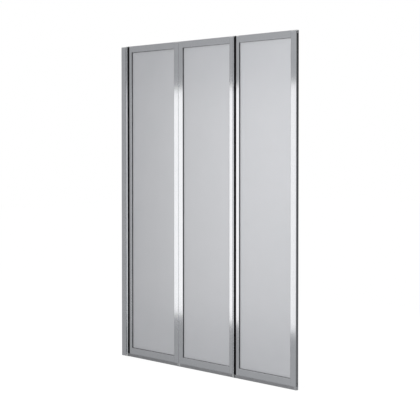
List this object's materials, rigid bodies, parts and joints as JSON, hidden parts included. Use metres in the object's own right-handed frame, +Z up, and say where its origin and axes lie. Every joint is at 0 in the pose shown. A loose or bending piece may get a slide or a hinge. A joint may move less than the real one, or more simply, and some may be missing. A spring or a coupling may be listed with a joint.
{
  "type": "folding bath screen",
  "caption": "Framed bath screen of satin panes that folds like a concertina from a wall channel on round vertical hinges.",
  "frame": {"origin": "on the wall, in the panels' middle plane, at the level of the bath rim: the foot of the wall channel's back", "axes": "+X from the wall to the free edge, -Y to the front, +Z up"},
  "size_m": [1.2, 0.0244, 1.4],
  "materials": {
    "polished_aluminium": "polished",
    "satin_glass": "satin",
    "black_rubber": "matte",
    "gasket_rubber": "matte",
    "grey_seal": "satin",
    "pale_plastic": "satin",
    "screw_steel": "plated",
    "pin_steel": "ground",
    "white_nylon": "matte"
  },
  "bodies": {
    "wall": {"wall_channel": "polished_aluminium", "wall_channel_cap": "pale_plastic", "expander_profile": "polished_aluminium", "expander_cap": "pale_plastic", "expander_foot": "pale_plastic", "expander_lock_screws": "screw_steel", "hinge_1_bushes": "white_nylon"},
    "panel_1": {"panel_1_hinge_stile": "polished_aluminium", "panel_1_fold_stile": "polished_aluminium", "panel_1_top_rail": "polished_aluminium", "panel_1_bottom_rail": "polished_aluminium", "panel_1_pane": "satin_glass", "panel_1_gasket": "gasket_rubber", "panel_1_corner_screws": "screw_steel", "panel_1_hinge_seal": "black_rubber", "panel_1_top_pivot": "pale_plastic", "panel_1_bottom_pivot": "pale_plastic", "panel_1_hinge_pins": "pin_steel", "panel_1_bottom_seal": "grey_seal", "panel_1_stile_cap": "pale_plastic", "panel_1_seal_cap": "pale_plastic", "hinge_2_bushes": "white_nylon"},
    "panel_2": {"panel_2_hinge_stile": "polished_aluminium", "panel_2_fold_stile": "polished_aluminium", "panel_2_top_rail": "polished_aluminium", "panel_2_bottom_rail": "polished_aluminium", "panel_2_pane": "satin_glass", "panel_2_gasket": "gasket_rubber", "panel_2_corner_screws": "screw_steel", "panel_2_hinge_seal": "black_rubber", "panel_2_top_pivot": "pale_plastic", "panel_2_bottom_pivot": "pale_plastic", "panel_2_hinge_pins": "pin_steel", "panel_2_bottom_seal": "grey_seal", "panel_2_stile_cap": "pale_plastic", "panel_2_seal_cap": "pale_plastic", "hinge_3_bushes": "white_nylon"},
    "panel_3": {"panel_3_hinge_stile": "polished_aluminium", "panel_3_free_stile": "polished_aluminium", "panel_3_top_rail": "polished_aluminium", "panel_3_bottom_rail": "polished_aluminium", "panel_3_pane": "satin_glass", "panel_3_gasket": "gasket_rubber", "panel_3_corner_screws": "screw_steel", "panel_3_hinge_seal": "black_rubber", "panel_3_top_pivot": "pale_plastic", "panel_3_bottom_pivot": "pale_plastic", "panel_3_hinge_pins": "pin_steel", "panel_3_bottom_seal": "grey_seal", "panel_3_stile_cap": "pale_plastic", "panel_3_seal_cap": "pale_plastic"}
  },
  "joints": [
    {"name": "wall_hinge", "type": "hinge", "parent": "wall", "child": "panel_1", "pos_m": [0.0442, -0.0085, 0.7], "axis": [0, 0, 1], "range_deg": [-90, 0]},
    {"name": "centre_hinge", "type": "hinge", "parent": "panel_1", "child": "panel_2", "pos_m": [0.4287, 0.0085, 0.7], "axis": [0, 0, 1], "range_deg": [0, 180]},
    {"name": "outer_hinge", "type": "hinge", "parent": "panel_2", "child": "panel_3", "pos_m": [0.8132, -0.0085, 0.7], "axis": [0, 0, 1], "range_deg": [-180, 0]}
  ]
}
